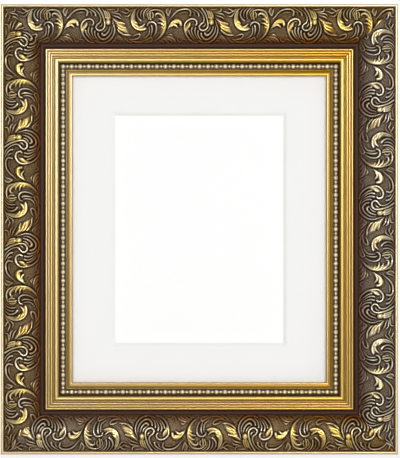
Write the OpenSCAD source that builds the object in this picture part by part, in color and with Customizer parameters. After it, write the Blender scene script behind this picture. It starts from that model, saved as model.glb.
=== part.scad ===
// Wall picture frame: a carved bronze and gold moulding round a white window mat.
// The frame faces -Y and its back lies against a wall at +Y. The origin is midway between
// the two hanging rings, in the plane of the moulding's back. Lengths are in millimetres.

/* [Glazing] */
// Width of the glass, the mat and the boards
glass_w = 254; // [200:1:500]
// Height of the glass, the mat and the boards
glass_h = 304.8; // [260:0.1:600]
// Thickness of the glass
glass_t = 2; // [1.5:0.1:3]
// Thickness of the mat board
mat_t = 3; // [1.4:0.1:4]
// Width of the mat's window at the sheet behind it
window_w = 162; // [100:1:180]
// Height of the mat's window at the sheet behind it
window_h = 219; // [120:1:225]
// How much wider the window is at the front, on each side
window_bevel = 3; // [1:0.1:4]
// Thickness of the sheet that shows in the window
sheet_t = 0.5; // [0.3:0.1:1.5]
// Thickness of the backing board
board_t = 2.5; // [2:0.1:5]
// How far the backing board lies below the moulding's back
board_recess = 0.4; // [0.2:0.1:1.5]
// Gap between one layer and the next
layer_gap = 0.15; // [0.05:0.05:0.3]

/* [Rebate] */
// How far the moulding covers the edge of the glass
lip_cover = 5; // [3:0.1:8]
// Play between the edge of the glass and the rebate, on each side
glass_play = 1.5; // [0.5:0.1:3]

/* [Outer moulding] */
// Width of the rounded rim along the outer edge
rim_w = 2.8; // [2:0.1:5]
// Height of the rim above the back
rim_h = 25; // [20:0.5:32]
// Width of the carved band
band_w = 34.8; // [28:0.1:45]
// Height of the carved band's ground at the rim
band_outer_h = 22.5; // [17:0.5:24]
// Height of the carved band's ground at its inner edge
band_inner_h = 20; // [18:0.5:24]
// Swell of the carved band above its two edges
band_rise = 9; // [4:0.5:12]
// Width of the dark ledge inside the carved band
ledge_w = 3; // [2:0.1:5]
// Height of the dark ledge above the back
ledge_h = 17.4; // [15:0.1:18]
// Width of the hollow between the ledge and the gold slip
quirk_w = 1.8; // [1:0.1:3]
// Depth of that hollow below the ledge
quirk_d = 0.8; // [0.3:0.1:1.5]

/* [Carved ornament] */
// Thickness of the composition layer under the scrolls
layer_t = 1.6; // [1:0.1:3]
// Height of the scrolls above their ground
scroll_h = 1.8; // [0.8:0.1:3]
// Length of one repeat of the scrolls
repeat_len = 98.8; // [80:0.1:130]
// Where a repeat starts on the top rail, from its left corner
start_top = 18.3; // [0:0.1:60]
// Where a repeat starts on the right rail, from its top corner
start_right = 16.6; // [0:0.1:60]
// Where a repeat starts on the bottom rail, from its right corner
start_bottom = 61.9; // [0:0.1:80]
// Where a repeat starts on the left rail, from its bottom corner
start_left = 21.8; // [0:0.1:60]

/* [Gold slip] */
// Width of the three reeds together
reeds_w = 7.4; // [5:0.1:12]
// Height of the reeds at the dark ledge
reeds_outer_h = 21; // [19:0.1:26]
// Height of the reeds at the groove
reeds_inner_h = 19.4; // [18:0.1:24]
// Swell of each reed
reed_rise = 0.8; // [0.3:0.1:1.1]
// Width of the groove between the reeds and the step
groove_w = 1.5; // [1:0.1:3]
// Depth of that groove below the reeds
groove_d = 0.7; // [0.3:0.05:0.75]
// Width of the step
step_w = 4.5; // [3:0.1:8]
// Height of the step at the groove
step_outer_h = 19; // [17:0.1:22]
// Height of the step at the bead channel
step_inner_h = 18.2; // [17:0.1:22]
// Swell of the step
step_rise = 0.7; // [0.3:0.1:1.2]
// Width of the bead channel
channel_w = 7; // [5:0.1:10]
// Height of the bead channel's floor above the back
channel_h = 14.6; // [14:0.1:16]
// Width of the lip at the sight edge
lip_w = 5.7; // [4:0.1:9]
// Height of the lip at the bead channel
lip_outer_h = 15.8; // [15:0.1:18]
// Height of the lip at the sight edge
lip_inner_h = 13.4; // [13:0.1:15]
// Swell of the lip
lip_rise = 1.2; // [0.5:0.1:2]

/* [Beads] */
// Radius of the large beads
bead_r = 1.95; // [1.2:0.05:2.4]
// Radius of the small beads between them
small_bead_r = 1.3; // [0.9:0.05:1.6]
// Radius of the thread that joins the beads
thread_r = 0.8; // [0.5:0.05:0.85]
// Distance from one large bead to the next, before it is fitted to the rail
bead_pitch = 8.25; // [7:0.05:12]
// How deep the large beads are sunk in the channel's floor
bead_sink = 1.2; // [0.5:0.1:1.6]

/* [Corner nails] */
// Length of each leg of a V nail
nail_leg = 8; // [5:0.5:10]
// Thickness of a V nail
nail_t = 0.8; // [0.5:0.1:1.2]
// Depth of a V nail in the wood
nail_deep = 10; // [6:0.5:12]
// Distance of the outer V nail's fold from the two outer edges
nail_outer_in = 17; // [12:0.5:18]
// Distance of the inner V nail's fold from the two outer edges
nail_inner_in = 34; // [28:0.5:36]
// Gap round a V nail
nail_gap = 0.05; // [0.02:0.01:0.1]

/* [Screws] */
// Radius of a screw's shank
screw_r = 1.5; // [1.2:0.1:2]
// Length of a screw under its head
screw_len = 11; // [8:0.5:12]
// Length of a screw's point
screw_tip = 2; // [1:0.5:3]
// Radius of a screw's head
screw_head_r = 3.4; // [2.8:0.1:4.5]
// Height of a screw's head
screw_head_h = 1.8; // [1.2:0.1:2.2]
// Width of the cross in a screw's head
cross_w = 0.9; // [0.6:0.1:1.2]
// Length of the cross in a screw's head
cross_len = 3.6; // [2.5:0.1:4.5]
// Depth of the cross in a screw's head
cross_d = 1; // [0.5:0.1:1.1]
// Gap round a screw's shank, in wood and in steel
screw_gap = 0.06; // [0.03:0.01:0.1]

/* [Turn buttons] */
// Width of a turn button
button_w = 13; // [9:0.5:15]
// Distance from a turn button's screw to its tip
button_reach = 24; // [18:0.5:30]
// Thickness of a turn button
button_t = 1.2; // [0.8:0.1:2]
// Width of the rib pressed in a turn button
rib_w = 4; // [2:0.5:6]
// Height of that rib
rib_h = 0.8; // [0.3:0.1:1.2]
// Distance from a turn button's screw to the edge of the rebate
button_inset = 8; // [7.5:0.5:10]
// Running gap under a turn button and under its screw's head
button_gap = 0.15; // [0.05:0.05:0.3]
// Distance of the upper side buttons below the rings
button_drop = 36; // [30:1:44]

/* [Hanging rings] */
// Depth of the rings below the top of the frame
hang_drop = 120; // [110:1:130]
// Distance of a ring's hinge from the outer side of the frame
ring_in = 42; // [38:0.5:44]
// Radius of a ring's bow, to the middle of its wire
ring_r = 10; // [8:0.5:12]
// Radius of a ring's wire
wire_r = 1.25; // [1:0.05:1.4]
// Running gap round a ring's hinge bar
ring_gap = 0.08; // [0.03:0.01:0.1]
// Width of a hanger strap
strap_w = 12; // [8:0.5:13]
// Thickness of a hanger strap
strap_t = 1; // [0.8:0.1:1.2]
// Distance from a ring's hinge to the strap's screw
strap_screw = 18; // [16.5:0.5:20]
// Gap between the hinge eye and the wood
eye_gap = 0.1; // [0.05:0.05:0.2]

/* [Wall bumpers] */
// Radius of a wall bumper
bumper_r = 6; // [4:0.5:8]
// Thickness of a wall bumper
bumper_t = 4.4; // [4:0.1:6]
// Width of the chamfer round a wall bumper
bumper_chamfer = 0.8; // [0.3:0.1:1.5]
// Distance of a wall bumper from the two outer edges
bumper_in = 12; // [10:0.5:20]

/* [Hidden] */

// The sides, clockwise as seen from the front
TOP = "top";
RIGHT = "right";
BOTTOM = "bottom";
LEFT = "left";
SIDES = [TOP, RIGHT, BOTTOM, LEFT];

// Overrun of a cut past the surface that it opens
over = 1;
// Segments in a large and in a small arc of a moulding
arc_steps = 12;
reed_steps = 5;

// Widths of the moulding and of its parts
outer_rail_w = rim_w + band_w + ledge_w + quirk_w;
slip_w = reeds_w + groove_w + step_w + channel_w + lip_w;
rail_w = outer_rail_w + slip_w;
rebate_w = lip_cover + glass_play;
rebate_d = glass_t + mat_t + sheet_t + board_t + 4 * layer_gap + board_recess;

// The whole frame
outer_w = glass_w + 2 * (rail_w - lip_cover);
outer_h = glass_h + 2 * (rail_w - lip_cover);
centre_z = hang_drop - outer_h / 2;
crest_h = max(rim_h, band_outer_h + band_rise + scroll_h + over);

// Heights of the layers in the rebate, each to its own back face
glass_back = rebate_d - layer_gap - glass_t;
mat_back = glass_back - layer_gap - mat_t;
sheet_back = mat_back - layer_gap - sheet_t;

// Places on the back
bead_line = outer_rail_w + reeds_w + groove_w + step_w + channel_w / 2;
button_line = rail_w - rebate_w - button_inset;
button_off = outer_h / 2 - hang_drop - button_drop;
eye_r = wire_r + ring_gap + strap_t;
eye_y = eye_gap + eye_r;

function is_level(side) = side == TOP || side == BOTTOM;
function side_len(side) = is_level(side) ? outer_w : outer_h;
function side_turn(side) = side == TOP ? 0 : side == RIGHT ? 90 : side == BOTTOM ? 180 : 270;

// Points of an arc from p towards q that swells by rise, without q itself
function arc(p, q, rise, steps) =
    let (d = q - p,
         half = norm(d) / 2,
         r = (half * half + rise * rise) / (2 * abs(rise)),
         up = [-d[1], d[0]] * sign(rise) / (2 * half),
         middle = (p + q) / 2 - up * (r - abs(rise)),
         sweep = 2 * asin(min(1, half / r)),
         a = rise > 0 ? -1 : 1,
         from = p - middle)
    [for (i = [0 : steps - 1])
        let (t = a * sweep * i / steps)
        middle + [from[0] * cos(t) - from[1] * sin(t), from[0] * sin(t) + from[1] * cos(t)]];

// Points (inward, height) of a moulding turned to lie across a rail
function across(points) = [for (p = points) [-p[1], -p[0]]];

// Raises points (inward, height)
function raised(points, up) = [for (p = points) [p[0], p[1] + up]];

function reversed(points) = [for (i = [len(points) - 1 : -1 : 0]) points[i]];

band_start = [rim_w, band_outer_h];
band_end = [rim_w + band_w, band_inner_h];
band_ground = concat(arc(band_start, band_end, band_rise, arc_steps), [band_end]);

// Puts a piece of the top rail, drawn along X with its outer edge at z = 0, on a side
module on_side(side) {
    translate([0, 0, centre_z])
        rotate([0, side_turn(side), 0])
            translate([0, 0, (is_level(side) ? outer_h : outer_w) / 2])
                children();
}

// A moulding of the given points (inward, height), mitred at both ends
module moulding(side, points) {
    reach = side_len(side);
    intersection() {
        rotate([90, 0, 90])
            linear_extrude(reach, center = true)
                polygon(across(points));
        mitre(side);
    }
}

// The space that one rail may fill: a trapezium with ends at 45 degrees
module mitre(side) {
    half = side_len(side) / 2;
    translate([0, over, 0])
        rotate([90, 0, 0])
            linear_extrude(crest_h + 2 * over)
                polygon([[-half - over, over], [half + over, over],
                         [half - rail_w, -rail_w], [rail_w - half, -rail_w]]);
}

// The wooden rails

rail_points = concat(
    [[0, 0]],
    arc([0, rim_h - rim_w / 2], [rim_w, rim_h - rim_w / 2], rim_w / 2, 2 * reed_steps),
    [[rim_w, rim_h - rim_w / 2]],
    raised(band_ground, -layer_t),
    [[rim_w + band_w, ledge_h]],
    arc([rim_w + band_w + ledge_w, ledge_h], [outer_rail_w, ledge_h], -quirk_d, reed_steps),
    [[outer_rail_w, ledge_h], [outer_rail_w, 0]]);

module rail(side) {
    color("saddlebrown")
        difference() {
            on_side(side)
                moulding(side, rail_points);
            all_nails(nail_gap);
            if (!is_level(side))
                hanger_side(side)
                    pilot_hole([strap_screw_x, strap_t, 0]);
        }
}

// The pressed composition that carries the scrolls

layer_points = concat(band_ground, reversed(raised(band_ground, -layer_t)));
scroll_points = concat(raised(band_ground, scroll_h),
                       reversed(raised(band_ground, -layer_t / 2)));

// Each scroll stroke as shares of the repeat along the rail and of the band across it,
// followed by the stroke's width as a share of the band
stroke_shares = [
    [[[0.136, 0.06], [0.092, 0.20], [0.083, 0.37], [0.097, 0.51], [0.136, 0.62], [0.20, 0.65]], 0.085],
    [[[0.185, 0.04], [0.155, 0.15], [0.150, 0.26], [0.178, 0.38]], 0.06],
    [[[0.235, 0.04], [0.202, 0.14], [0.202, 0.27]], 0.05],
    [[[0.285, 0.10], [0.330, 0.09], [0.380, 0.16], [0.402, 0.30]], 0.08],
    [[[0.262, 0.14], [0.248, 0.22], [0.255, 0.34]], 0.08],
    [[[0.408, 0.36], [0.414, 0.52], [0.395, 0.70], [0.350, 0.86], [0.318, 0.93]], 0.09],
    [[[0.240, 0.52], [0.260, 0.43], [0.300, 0.44], [0.325, 0.56], [0.310, 0.72], [0.285, 0.85]], 0.06],
    [[[0.275, 0.53], [0.285, 0.66], [0.262, 0.84], [0.200, 0.93], [0.110, 0.95], [0.040, 0.88]], 0.06],
    [[[0.435, 0.60], [0.460, 0.47], [0.500, 0.39], [0.545, 0.39], [0.560, 0.48]], 0.10],
    [[[0.450, 0.28], [0.490, 0.16], [0.550, 0.07], [0.620, 0.06], [0.655, 0.20]], 0.055],
    [[[0.700, 0.05], [0.745, 0.12], [0.780, 0.28], [0.775, 0.46], [0.745, 0.54]], 0.06],
    [[[0.765, 0.62], [0.800, 0.64], [0.826, 0.53], [0.812, 0.36], [0.770, 0.08]], 0.055],
    [[[0.602, 0.50], [0.622, 0.38], [0.665, 0.34], [0.706, 0.42]], 0.08],
    [[[0.620, 0.57], [0.602, 0.70], [0.640, 0.86], [0.720, 0.95], [0.830, 0.95], [0.905, 0.82],
      [0.930, 0.62], [0.905, 0.42]], 0.06],
    [[[0.700, 0.62], [0.712, 0.78], [0.770, 0.86], [0.845, 0.82], [0.888, 0.64]], 0.055],
    [[[0.660, 0.60], [0.655, 0.70], [0.680, 0.82]], 0.05],
    [[[0.845, 0.12], [0.868, 0.26], [0.868, 0.42]], 0.09],
    [[[0.930, 0.40], [0.965, 0.48], [1.000, 0.60], [1.045, 0.76]], 0.12],
    [[[0.885, 0.06], [0.930, 0.10], [0.985, 0.24]], 0.05],
    [[[0.405, 0.93], [0.440, 0.82], [0.490, 0.86]], 0.06],
];

// Catmull-Rom point between b and c
function between(a, b, c, d, t) =
    (2 * b + (c - a) * t + (2 * a - 5 * b + 4 * c - d) * t * t
     + (3 * b - a - 3 * c + d) * t * t * t) / 2;

// A smooth path through points, with a point at each one and one between
function smooth(p) =
    let (n = len(p) - 1)
    [for (i = [0 : 2 * n])
        let (k = min(floor(i / 2), n - 1), t = i / 2 - k)
        between(p[max(k - 1, 0)], p[k], p[k + 1], p[min(k + 2, n)], t)];

// Outline of a stroke along a path: full in the middle, narrow at its two ends
function stroke_outline(p, w) =
    let (n = len(p) - 1,
         normals = [for (i = [0 : n])
             let (d = p[min(i + 1, n)] - p[max(i - 1, 0)])
             [-d[1], d[0]] / norm(d)],
         halves = [for (i = [0 : n]) w / 2 * (0.3 + 0.7 * sin(180 * i / n))])
    concat([for (i = [0 : n]) p[i] + normals[i] * halves[i]],
           [for (i = [n : -1 : 0]) p[i] - normals[i] * halves[i]]);

module scrolls(side, start) {
    reach = side_len(side);
    copies = ceil(reach / repeat_len) + 1;
    for (i = [-1 : copies], s = stroke_shares) {
        path = [for (p = s[0])
            [start + (i + p[0]) * repeat_len - reach / 2, -rim_w - p[1] * band_w]];
        if (max([for (p = path) p[0]]) > rim_w - reach / 2
            && min([for (p = path) p[0]]) < reach / 2 - rim_w)
            rotate([90, 0, 0])
                linear_extrude(crest_h + over)
                    polygon(stroke_outline(smooth(path), s[1] * band_w));
    }
}

module ornament(side, start) {
    color("darkgoldenrod")
        on_side(side)
            union() {
                moulding(side, layer_points);
                intersection() {
                    moulding(side, scroll_points);
                    scrolls(side, start);
                }
            }
}

// The gold slip that is glued inside the rails and holds the rebate

function reed_at(share) = [outer_rail_w + share * reeds_w,
                           reeds_outer_h + share * (reeds_inner_h - reeds_outer_h)];

step_at = outer_rail_w + reeds_w + groove_w;
channel_at = step_at + step_w;
lip_at = channel_at + channel_w;
slip_points = concat(
    [[outer_rail_w, 0]],
    arc(reed_at(0), reed_at(1 / 3), reed_rise, reed_steps),
    arc(reed_at(1 / 3), reed_at(2 / 3), reed_rise, reed_steps),
    arc(reed_at(2 / 3), reed_at(1), reed_rise, reed_steps),
    arc(reed_at(1), [step_at, step_outer_h], -groove_d, reed_steps),
    arc([step_at, step_outer_h], [channel_at, step_inner_h], step_rise, reed_steps),
    [[channel_at, step_inner_h], [channel_at, channel_h], [lip_at, channel_h]],
    arc([lip_at, lip_outer_h], [rail_w, lip_inner_h], lip_rise, 2 * reed_steps),
    [[rail_w, lip_inner_h], [rail_w, rebate_d], [rail_w - rebate_w, rebate_d],
     [rail_w - rebate_w, 0]]);

module slip(side) {
    color("gold")
        difference() {
            on_side(side)
                moulding(side, slip_points);
            for (b = BUTTONS)
                if (b[0] == side)
                    on_side(side)
                        translate([b[1], 0, -button_line])
                            pilot_hole([0, button_gap + button_t + button_gap, 0]);
        }
}

// The bead strings, turned in one piece and flat underneath. The top and bottom ones
// carry the corner beads.

// Profile of one bead (along the string, radius), between its two necks
function bead_arc(x, r) =
    let (neck = asin(thread_r / r))
    [for (i = [0 : reed_steps])
        let (t = 180 - neck - (180 - 2 * neck) * i / reed_steps)
        [x + r * cos(t), r * sin(t)]];

module bead_string(side) {
    run = side_len(side) - 2 * bead_line;
    count = round(run / bead_pitch);
    half_pitch = run / count / 2;
    skip = is_level(side) ? 0 : 1;
    arcs = [for (i = [skip : 2 * count - skip])
        bead_arc(i * half_pitch - run / 2, i % 2 == 0 ? bead_r : small_bead_r)];
    profile = [for (points = arcs, p = points) p];
    ends = [[profile[0][0], 0], [profile[len(profile) - 1][0], 0]];
    turned = [for (p = concat([ends[0]], profile, [ends[1]])) [p[1], p[0]]];
    color("khaki")
        on_side(side)
            translate([0, -channel_h, -bead_line])
                difference() {
                    translate([0, bead_sink - bead_r, 0])
                        rotate([0, 90, 0])
                            rotate_extrude($fn = 24)
                                polygon(turned);
                    translate([-run, 0, -run])
                        cube(2 * run);
                }
}

// The V nails across the mitres, two at each corner

module nail(grow) {
    rotate([90, 0, 0])
        translate([0, 0, -over * sign(grow)])
            linear_extrude(nail_deep + grow + over * sign(grow))
                polygon([[-grow, -grow], [nail_leg + grow, -grow],
                         [nail_leg + grow, nail_t + grow], [nail_t + grow, nail_t + grow],
                         [nail_t + grow, nail_leg + grow], [-grow, nail_leg + grow]]);
}

module all_nails(grow) {
    for (side = SIDES, deep = [nail_outer_in, nail_inner_in])
        on_side(side)
            translate([side_len(side) / 2 - deep, 0, -deep])
                nail(grow);
}

module corner_nails() {
    color("silver")
        all_nails(0);
}

// The layers in the rebate

module sheet_layer(back, thick) {
    translate([-glass_w / 2, -back - thick, centre_z - glass_h / 2])
        cube([glass_w, thick, glass_h]);
}

module glass() {
    color("lightcyan")
        sheet_layer(glass_back, glass_t);
}

module picture_sheet() {
    color("white")
        sheet_layer(sheet_back, sheet_t);
}

module backing_board() {
    color("peru")
        sheet_layer(board_recess, board_t);
}

module window_mat() {
    color("whitesmoke")
        difference() {
            sheet_layer(mat_back, mat_t);
            translate([0, 0, centre_z])
                intersection() {
                    tapered_slot(window_h / 2, glass_w);
                    rotate([0, 90, 0])
                        tapered_slot(window_w / 2, glass_h);
                }
        }
}

// A slot along X through the mat: narrow at the sheet behind, wider by the bevel in front
module tapered_slot(half, length) {
    spread = over * window_bevel / mat_t;
    rotate([90, 0, 90])
        linear_extrude(length, center = true)
            polygon([[over - mat_back, half - spread],
                     [-mat_back - mat_t - over, half + window_bevel + spread],
                     [-mat_back - mat_t - over, -half - window_bevel - spread],
                     [over - mat_back, spread - half]]);
}

// The screws, with their shanks along -Y from the underside of the head

module screw() {
    head = screw_head_h;
    difference() {
        rotate([-90, 0, 0])
            rotate_extrude($fn = 48)
                polygon(concat([[0, -screw_len], [screw_r, screw_tip - screw_len],
                                [screw_r, 0], [screw_head_r, 0]],
                               arc([screw_head_r, head / 3], [0, head], -head / 4, reed_steps),
                               [[0, head]]));
        for (turn = [0, 90])
            rotate([0, turn, 0])
                translate([-cross_len / 2, head - cross_d, -cross_w / 2])
                    cube([cross_len, cross_d + over, cross_w]);
    }
}

// A pilot hole for a screw whose head sits at the given place
module pilot_hole(head) {
    translate(head)
        rotate([90, 0, 0])
            cylinder(h = screw_len + screw_gap, r = screw_r + screw_gap, $fn = 48);
}

// The turn buttons: side, place along it, and the way the open button points

BUTTONS = [[TOP, 0, 1], [RIGHT, -button_off, 1], [RIGHT, button_off, -1],
           [BOTTOM, 0, 1], [LEFT, -button_off, 1], [LEFT, button_off, -1]];

module at_button(i) {
    b = BUTTONS[i];
    on_side(b[0])
        translate([b[1], button_gap, -button_line])
            children();
}

module turn_button(i) {
    color("goldenrod")
        at_button(i)
            rotate([0, BUTTONS[i][2] > 0 ? 0 : 180, 0])
                rotate([-90, 0, 0])
                    difference() {
                        union() {
                            linear_extrude(button_t)
                                button_outline();
                            translate([button_w / 2, -rib_w / 2, button_t])
                                cube([button_reach - button_w, rib_w, rib_h]);
                        }
                        translate([0, 0, -over])
                            cylinder(h = button_t + 2 * over, r = screw_r + screw_gap, $fn = 48);
                    }
}

// A strip with a round head at the screw and a narrower round tip
module button_outline() {
    tip_r = button_w / 3;
    circle(r = button_w / 2, $fn = 64);
    translate([button_reach - tip_r, 0])
        circle(r = tip_r, $fn = 48);
    polygon([[0, -button_w / 2], [button_reach - tip_r, -tip_r],
             [button_reach - tip_r, tip_r], [0, button_w / 2]]);
}

module turn_button_screws() {
    color("silver")
        for (i = [0 : len(BUTTONS) - 1])
            at_button(i)
                translate([0, button_t + button_gap, 0])
                    screw();
}

// The hangers: a steel strap whose eye holds the ring's hinge bar

ring_x = outer_w / 2 - ring_in;
strap_screw_x = ring_x + strap_screw;

// The left hanger is the right one mirrored
module hanger_side(side) {
    mirror([side == LEFT ? 1 : 0, 0, 0])
        children();
}

module hanger_strap(side) {
    color("silver")
        hanger_side(side)
            difference() {
                union() {
                    translate([ring_x, 0, -strap_w / 2])
                        cube([strap_screw, strap_t, strap_w]);
                    translate([strap_screw_x, strap_t, 0])
                        rotate([90, 0, 0])
                            cylinder(h = strap_t, r = strap_w / 2, $fn = 64);
                    translate([ring_x, eye_y, 0])
                        cylinder(h = strap_w, r = eye_r, center = true, $fn = 48);
                }
                translate([ring_x, eye_y, 0])
                    cylinder(h = strap_w + 2 * over, r = wire_r + ring_gap, center = true, $fn = 48);
                translate([strap_screw_x, strap_t + over, 0])
                    rotate([90, 0, 0])
                        cylinder(h = strap_t + 2 * over, r = screw_r + screw_gap, $fn = 48);
            }
}

module hanger_screws() {
    color("silver")
        for (side = [LEFT, RIGHT])
            hanger_side(side)
                translate([strap_screw_x, strap_t, 0])
                    screw();
}

module ring(side) {
    color("gainsboro")
        hanger_side(side)
            translate([ring_x, eye_y, 0])
                union() {
                    cylinder(h = 2 * ring_r, r = wire_r, center = true, $fn = 32);
                    for (end = [-1, 1])
                        translate([0, 0, end * ring_r])
                            sphere(r = wire_r, $fn = 32);
                    rotate([90, -90, 0])
                        rotate_extrude(angle = 180, $fn = 64)
                            translate([ring_r, 0])
                                circle(r = wire_r, $fn = 32);
                }
}

// The wall bumpers on the two lower corners

module wall_bumpers() {
    color("dimgray")
        for (way = [-1, 1])
            translate([way * (outer_w / 2 - bumper_in), 0,
                       centre_z - outer_h / 2 + bumper_in])
                rotate([-90, 0, 0])
                    rotate_extrude($fn = 64)
                        polygon([[0, 0], [bumper_r, 0], [bumper_r, bumper_t - bumper_chamfer],
                                 [bumper_r - bumper_chamfer, bumper_t], [0, bumper_t]]);
}

rail(TOP);  // rail_top
rail(RIGHT);  // rail_right
rail(BOTTOM);  // rail_bottom
rail(LEFT);  // rail_left
ornament(TOP, start_top);  // ornament_top
ornament(RIGHT, start_right);  // ornament_right
ornament(BOTTOM, start_bottom);  // ornament_bottom
ornament(LEFT, start_left);  // ornament_left
slip(TOP);  // slip_top
slip(RIGHT);  // slip_right
slip(BOTTOM);  // slip_bottom
slip(LEFT);  // slip_left
bead_string(TOP);  // beads_top
bead_string(RIGHT);  // beads_right
bead_string(BOTTOM);  // beads_bottom
bead_string(LEFT);  // beads_left
corner_nails();
glass();
window_mat();
picture_sheet();
backing_board();
turn_button(0);  // turn_button_top
turn_button(1);  // turn_button_upper_right
turn_button(2);  // turn_button_lower_right
turn_button(3);  // turn_button_bottom
turn_button(4);  // turn_button_lower_left
turn_button(5);  // turn_button_upper_left
turn_button_screws();
hanger_strap(LEFT);  // hanger_strap_left
hanger_strap(RIGHT);  // hanger_strap_right
hanger_screws();
ring(LEFT);  // ring_left
ring(RIGHT);  // ring_right
wall_bumpers();
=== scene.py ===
import math
import bpy
import numpy as np
from mathutils import Matrix, Vector


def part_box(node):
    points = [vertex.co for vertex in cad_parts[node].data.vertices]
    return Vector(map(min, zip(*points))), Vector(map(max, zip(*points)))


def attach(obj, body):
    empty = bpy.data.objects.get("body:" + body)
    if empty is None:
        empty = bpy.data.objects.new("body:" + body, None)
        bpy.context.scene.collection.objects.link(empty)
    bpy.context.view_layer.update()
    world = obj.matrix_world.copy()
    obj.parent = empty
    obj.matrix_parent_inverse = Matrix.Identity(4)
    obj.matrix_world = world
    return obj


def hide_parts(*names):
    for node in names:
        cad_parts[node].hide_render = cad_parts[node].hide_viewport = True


# A wall picture frame, put together in the order of the framer's bench: the moulding and
# its ornament, the gold slip and its beads, what lies in the rebate, then the hardware.
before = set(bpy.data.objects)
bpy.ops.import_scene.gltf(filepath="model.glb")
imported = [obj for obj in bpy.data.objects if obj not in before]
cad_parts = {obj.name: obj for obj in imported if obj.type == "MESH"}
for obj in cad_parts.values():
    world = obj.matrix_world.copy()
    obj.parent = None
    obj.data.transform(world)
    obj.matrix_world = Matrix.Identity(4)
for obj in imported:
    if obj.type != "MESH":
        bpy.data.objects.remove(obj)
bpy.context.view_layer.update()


# The outer rails. Pine run to a moulding, mitred, primed and sprayed with dark bronze
# lacquer; the round rim is rubbed with pale gold, and the back is left bare. Sizes here
# and below are in millimetres.

MM = 0.001
SIDES = ("top", "right", "bottom", "left")
FRONT = Vector((0, -1, 0))

rim_width = 2.8
rim_height = 25.0
band_width = 34.8
band_outer_height = 22.5
band_inner_height = 20.0
band_rise = 9.0
layer_depth = 1.6
ledge_width = 3.0
ledge_height = 17.4
quirk_width = 1.8
quirk_depth = 0.8
band_end = rim_width + band_width
ledge_end = band_end + ledge_width
rail_width = ledge_end + quirk_width
rim_facets, band_facets, quirk_facets = 16, 24, 8
rail_easing = 0.35
clear_corner = 25  # degrees that the outline turns by
rim_gold_depth = 3.0
bare_below = 0.1

outer_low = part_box("rail_left")[0]
outer_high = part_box("rail_right")[1]
middle = (outer_low + outer_high) / 2
middle.y = 0

# Each side's own axes: along the rail, clockwise as seen from the front, and from the
# middle out to its outer edge. The last number is half its length.
half_width = (outer_high.x - outer_low.x) / 2
half_height = (outer_high.z - outer_low.z) / 2
SIDE_AXES = {
    "top": (Vector((1, 0, 0)), Vector((0, 0, half_height)), half_width),
    "right": (Vector((0, 0, -1)), Vector((half_width, 0, 0)), half_height),
    "bottom": (Vector((-1, 0, 0)), Vector((0, 0, -half_height)), half_width),
    "left": (Vector((0, 0, 1)), Vector((-half_width, 0, 0)), half_height),
}


def side_matrix(side):
    """Places (along, forward, inward), with its origin at mid-rail on the outer edge."""
    along, outward, _ = SIDE_AXES[side]
    turned = Matrix((along, FRONT, -outward.normalized())).transposed()
    return Matrix.Translation(middle + outward) @ turned.to_4x4()


def clear_selection():
    if bpy.context.object and bpy.context.object.mode != "OBJECT":
        bpy.ops.object.mode_set(mode="OBJECT")
    bpy.ops.object.select_all(action="DESELECT")


def edit_all():
    bpy.ops.object.mode_set(mode="EDIT")
    bpy.ops.mesh.select_all(action="SELECT")


def cut_away(point, outward):
    """Cuts off what lies beyond a plane, and closes the cut."""
    bpy.ops.mesh.select_all(action="SELECT")
    bpy.ops.mesh.bisect(plane_co=point, plane_no=outward, clear_outer=True, use_fill=True,
                        threshold=1e-7)


def end_editing():
    """Turns every face outwards, and leaves edit mode."""
    bpy.ops.mesh.select_all(action="SELECT")
    bpy.ops.mesh.normals_make_consistent(inside=False)
    bpy.ops.object.mode_set(mode="OBJECT")


def corners_of(mesh):
    """The places of a mesh's vertices, a row each."""
    places = np.zeros(len(mesh.vertices) * 3)
    mesh.vertices.foreach_get("co", places)
    return places.reshape(-1, 3)


def arc(start, end, rise, facets):
    """Points (inward, height) from start towards end that swell by rise, without end."""
    start, end = np.array(start, float), np.array(end, float)
    chord = end - start
    half = np.hypot(*chord) / 2
    radius = (half**2 + rise**2) / (2 * abs(rise))
    up = np.array((-chord[1], chord[0])) * np.sign(rise) / (2 * half)
    centre = (start + end) / 2 - up * (radius - abs(rise))
    sweep = -np.sign(rise) * 2 * math.asin(min(1, half / radius))
    points = []
    for turn in sweep * np.arange(facets) / facets:
        x, y = start - centre
        points.append((centre[0] + x * math.cos(turn) - y * math.sin(turn),
                       centre[1] + x * math.sin(turn) + y * math.cos(turn)))
    return points


def eased(outline, ease):
    """The same outline with each clear corner cut back by ease, as sandpaper leaves it, or
    by a third of a short side."""
    points = [Vector(p) for p in outline]
    made = []
    for before, here, after in zip(points[-1:] + points[:-1], points, points[1:] + points[:1]):
        back, on = before - here, after - here
        if math.degrees(math.pi - back.angle(on)) < clear_corner:
            made.append(here)
        else:
            made += [here + way.normalized() * min(ease, way.length / 3) for way in (back, on)]
    return [tuple(p) for p in made]


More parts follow.
